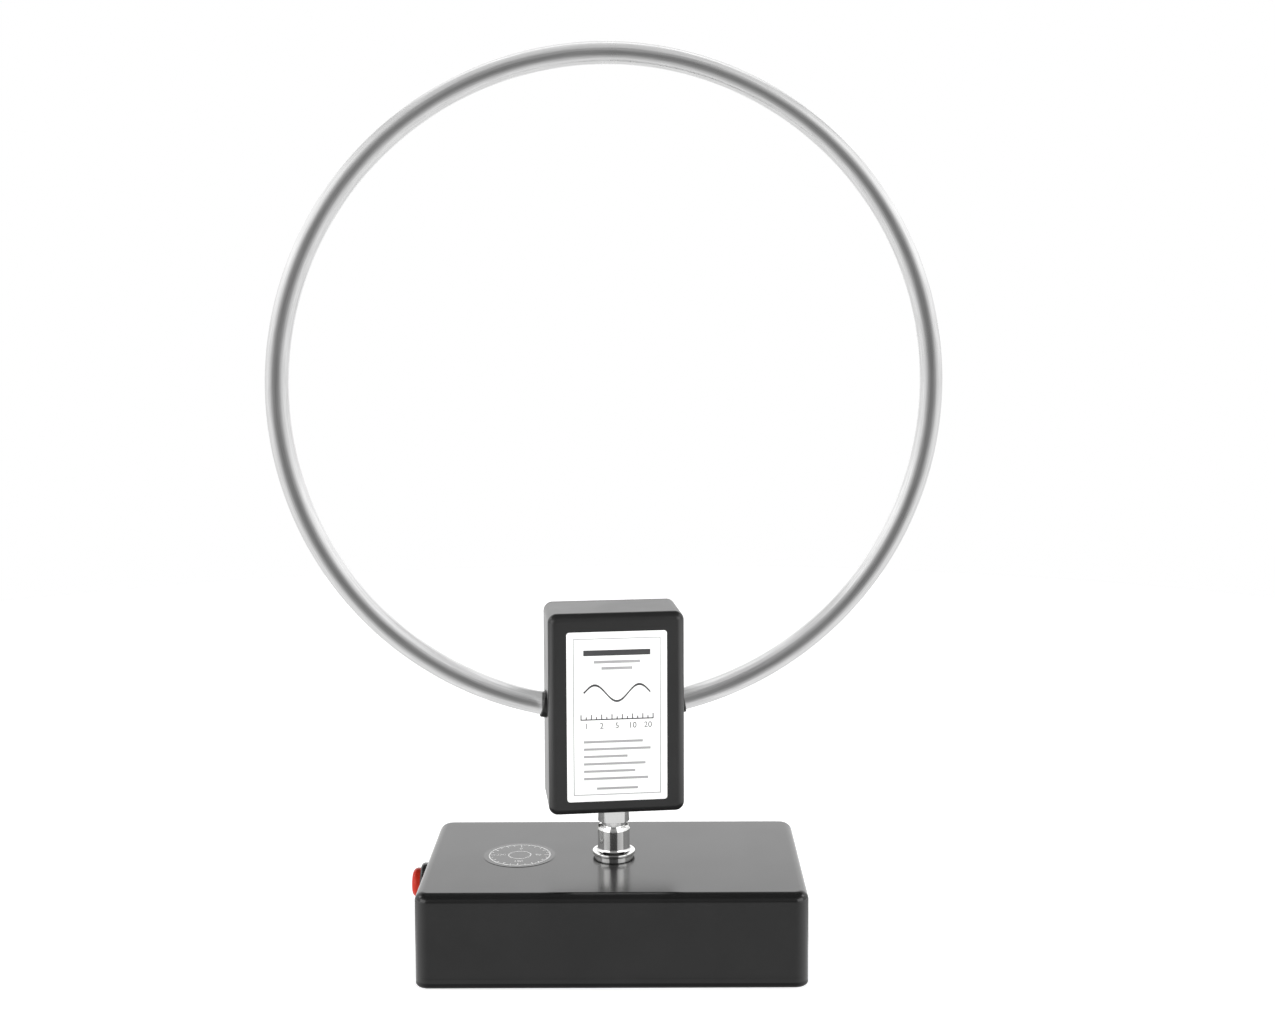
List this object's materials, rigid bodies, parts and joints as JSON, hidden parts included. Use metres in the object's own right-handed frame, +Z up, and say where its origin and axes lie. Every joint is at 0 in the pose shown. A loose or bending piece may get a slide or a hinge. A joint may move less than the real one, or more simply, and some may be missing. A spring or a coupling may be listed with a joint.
{
  "type": "radio loop antenna",
  "caption": "Tabletop receiving loop antenna: a tube ring on a label-fronted head box, held by a bayonet connector on a wide amplifier base with a push switch.",
  "frame": {"origin": "middle of the base box's underside, on the connector's axis", "axes": "+X right and +Z up, with the front label facing -Y"},
  "size_m": [0.263, 0.1024, 0.3559],
  "materials": {
    "case_black": "satin moulded shell",
    "steel": "bright zinc",
    "board_green": "solder mask",
    "parts_black": "moulded",
    "battery_wrap": "metal can in shrink wrap",
    "tinned_metal": "tinned",
    "nickel": "nickel plated, polished",
    "insulator_white": "smooth",
    "gold": "gold flash",
    "wire_white": "sleeved wire",
    "wire_red": "sleeved wire",
    "switch_black": "moulded",
    "button_red": "glossy",
    "sticker_film": "clear film",
    "gasket_rubber": "silicone",
    "ferrite": "sintered",
    "copper": "enamelled wire",
    "tube_aluminium": "satin drawn tube",
    "grommet_rubber": "matt",
    "label_white": "coated film"
  },
  "bodies": {
    "base": {"base_case": "case_black", "base_bottom_cover": "case_black", "base_cover_screws": "steel", "base_board": "board_green", "base_board_screws": "steel", "base_board_parts": "parts_black", "battery_holder": "parts_black", "battery_cell": "battery_wrap", "battery_contacts": "tinned_metal", "charge_socket_shell": "tinned_metal", "charge_socket_tongue": "parts_black", "output_jack_body": "nickel", "output_jack_insulator": "insulator_white", "output_jack_contact": "gold", "output_jack_washer": "nickel", "output_jack_nut": "nickel", "output_lead": "wire_white", "power_switch_body": "switch_black", "power_switch_nut": "switch_black", "power_switch_terminals": "tinned_metal", "power_switch_wires": "wire_red", "plug_body": "nickel", "plug_washer": "nickel", "plug_nut": "nickel", "plug_insulator": "insulator_white", "plug_pin": "gold", "plug_lead": "wire_white", "round_sticker": "sticker_film"},
    "power_button": {"power_switch_cap": "button_red"},
    "coupling": {"coupling_sleeve": "nickel", "coupling_snap_ring": "steel"},
    "gasket": {"coupling_gasket": "gasket_rubber"},
    "head": {"head_case": "case_black", "head_rear_cover": "case_black", "head_cover_screws": "steel", "head_board": "board_green", "head_board_screws": "steel", "head_board_parts": "parts_black", "balun_core": "ferrite", "balun_windings": "copper", "loop_tube": "tube_aluminium", "loop_grommet_left": "grommet_rubber", "loop_grommet_right": "grommet_rubber", "loop_terminal_screws": "steel", "loop_terminal_nuts": "steel", "loop_terminal_tags": "tinned_metal", "head_jack_body": "nickel", "head_jack_insulator": "insulator_white", "head_jack_contact": "gold", "head_jack_washer": "nickel", "head_jack_nut": "nickel", "head_jack_lead": "wire_white", "front_label": "label_white"}
  },
  "joints": [
    {"name": "power_button_press", "type": "slide", "parent": "base", "child": "power_button", "axis": [1, 0, 0], "range_m": [0, 0.0025], "stiffness_N_per_m": 600, "springref_m": -0.002},
    {"name": "loop_swivel", "type": "hinge", "parent": "base", "child": "coupling", "pos_m": [0, 0, 0.04], "axis": [0, 0, 1], "continuous": true},
    {"name": "bayonet_twist", "type": "hinge", "parent": "coupling", "child": "gasket", "pos_m": [0, 0, 0.04], "axis": [0, 0, 1], "range_deg": [0, 80]},
    {"name": "bayonet_lift", "type": "slide", "parent": "gasket", "child": "head", "axis": [0, 0, 1], "range_m": [0, 0.0024]}
  ],
  "couplings": [
    {"joint": "bayonet_twist", "follows": "bayonet_lift", "rad_per_m": 581.78}
  ]
}
